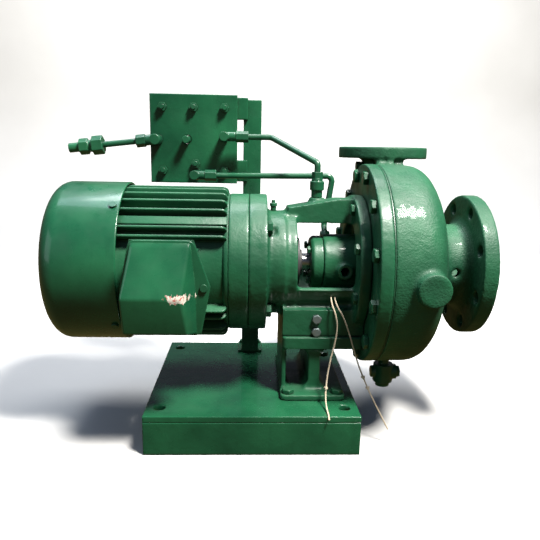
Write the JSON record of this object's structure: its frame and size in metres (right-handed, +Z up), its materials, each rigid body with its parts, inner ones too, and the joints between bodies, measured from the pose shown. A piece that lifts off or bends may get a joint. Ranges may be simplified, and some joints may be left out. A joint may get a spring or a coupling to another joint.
{
  "type": "centrifugal water pump",
  "caption": "End-suction centrifugal water pump with a close-coupled electric motor, foot, boxed steel base, flush tubing and a small port panel on a post.",
  "frame": {"origin": "centre of the base's underside, on the surface that it stands on", "axes": "+X along the shaft from the motor to the suction flange, +Z up, along the discharge; -Y is the side with the conduit box"},
  "size_m": [0.6807, 0.359, 0.5394],
  "materials": {
    "green_enamel": "glossy enamel",
    "green_cast": "glossy enamel over rough casting",
    "bare_steel": "machined",
    "laminated_iron": "varnished laminations",
    "copper_winding": "varnished copper wire",
    "bronze": "cast bronze",
    "black_rubber": "matte",
    "grey_plastic": "moulded",
    "tan_twine": "twisted fibre"
  },
  "bodies": {
    "pump_frame": {"adapter_bolts": "green_enamel", "adapter_frame": "green_cast", "arm_elbow": "green_enamel", "base_bolts": "green_enamel", "base_skirt": "green_enamel", "base_top_plate": "green_enamel", "casing": "green_cast", "casing_bolts": "green_enamel", "casing_cover": "green_cast", "casing_gasket": "black_rubber", "centre_port_nipple": "green_enamel", "conduit_box": "green_enamel", "conduit_cover": "green_enamel", "conduit_gasket": "black_rubber", "cover_screws": "green_enamel", "drain_elbow": "green_enamel", "drive_bearing_outer_ring": "bare_steel", "drive_end_bell": "green_cast", "fan_bearing_outer_ring": "bare_steel", "fan_cowl": "green_enamel", "fan_end_bell": "green_cast", "front_tie_string": "tan_twine", "gland_bolts": "green_enamel", "gland_connector": "green_enamel", "left_port_elbow": "green_enamel", "left_tube": "green_enamel", "left_union": "green_enamel", "lower_port_elbow": "green_enamel", "lower_tube": "green_enamel", "motor_frame": "green_enamel", "panel_bars": "green_enamel", "panel_plate": "green_enamel", "panel_post": "green_enamel", "panel_studs_and_nuts": "green_enamel", "pipe_plugs": "green_enamel", "pump_foot": "green_cast", "saddle_screws": "green_enamel", "seal_gland": "green_cast", "seal_seat": "black_rubber", "side_tie_string": "tan_twine", "stator_core": "laminated_iron", "stator_windings": "copper_winding", "tube_nuts": "green_enamel", "upper_port_elbow": "green_enamel", "upper_tube": "green_enamel", "vent_fitting": "green_enamel", "wear_ring": "bare_steel"},
    "rotor": {"shaft": "bare_steel", "rotor_core": "laminated_iron", "cooling_fan": "grey_plastic", "impeller": "bronze", "impeller_nut": "bare_steel", "slinger": "black_rubber", "seal_head": "bare_steel", "seal_spring": "bare_steel", "drive_bearing_inner_ring": "bare_steel", "fan_bearing_inner_ring": "bare_steel"},
    "ball_sets": {"drive_bearing_balls": "bare_steel", "fan_bearing_balls": "bare_steel"}
  },
  "joints": [
    {"name": "shaft_spin", "type": "hinge", "parent": "pump_frame", "child": "rotor", "pos_m": [0, -0.012, 0.266], "axis": [1, 0, 0], "continuous": true},
    {"name": "ball_sets_spin", "type": "hinge", "parent": "pump_frame", "child": "ball_sets", "pos_m": [0, -0.012, 0.266], "axis": [1, 0, 0], "continuous": true}
  ],
  "couplings": [
    {"joint": "ball_sets_spin", "follows": "shaft_spin", "ratio": 0.4}
  ]
}
